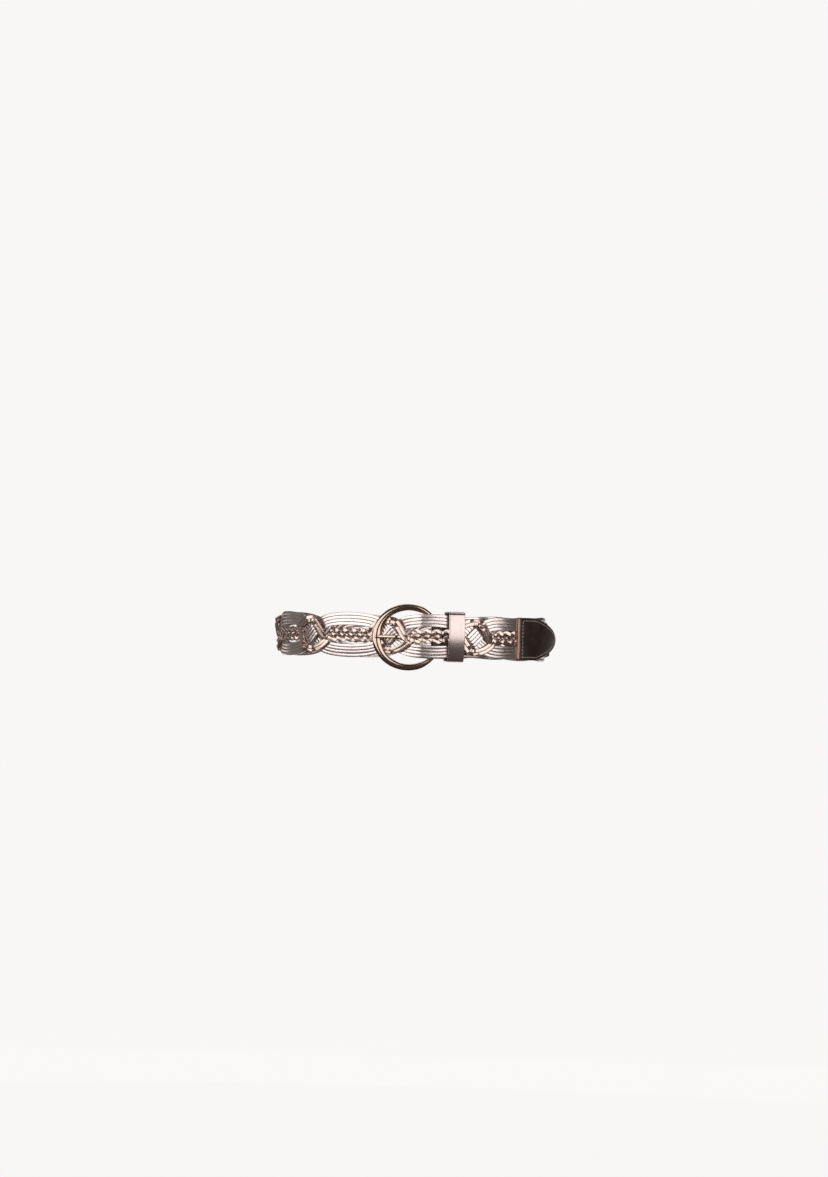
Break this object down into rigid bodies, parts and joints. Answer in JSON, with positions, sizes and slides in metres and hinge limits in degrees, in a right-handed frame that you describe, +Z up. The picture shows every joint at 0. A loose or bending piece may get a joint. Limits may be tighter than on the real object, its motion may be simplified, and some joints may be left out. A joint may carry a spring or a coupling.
{
  "type": "braided leather waist belt",
  "caption": "Fastened waist belt of flat metallic leather laces knotted into lens-shaped openings round a braided core, with a horseshoe ring buckle, keeper and pointed leather tab.",
  "frame": {"origin": "centre of the waist opening, at the strap's middle height", "axes": "+X to the viewer's right across the front, -Y out through the buckle, +Z up the wearer"},
  "size_m": [0.249, 0.1935, 0.058],
  "materials": {
    "ribbon_leather": "metallic rose foil, smooth",
    "core_leather": "metallic rose foil, smooth",
    "dark_leather": "dark brown, glazed",
    "raw_edge": "tan cut edge",
    "keeper_leather": "metallic rose foil, satin",
    "polished_metal": "pale rose gold plate, polished"
  },
  "bodies": {
    "root": {"ribbon_one": "ribbon_leather", "ribbon_two": "ribbon_leather", "core_braid": "core_leather", "tip_tab": "dark_leather", "tip_edge_strip": "raw_edge", "buckle_fold": "dark_leather", "keeper_loop": "keeper_leather", "buckle_frame": "polished_metal", "buckle_prong": "polished_metal"}
  },
  "joints": []
}
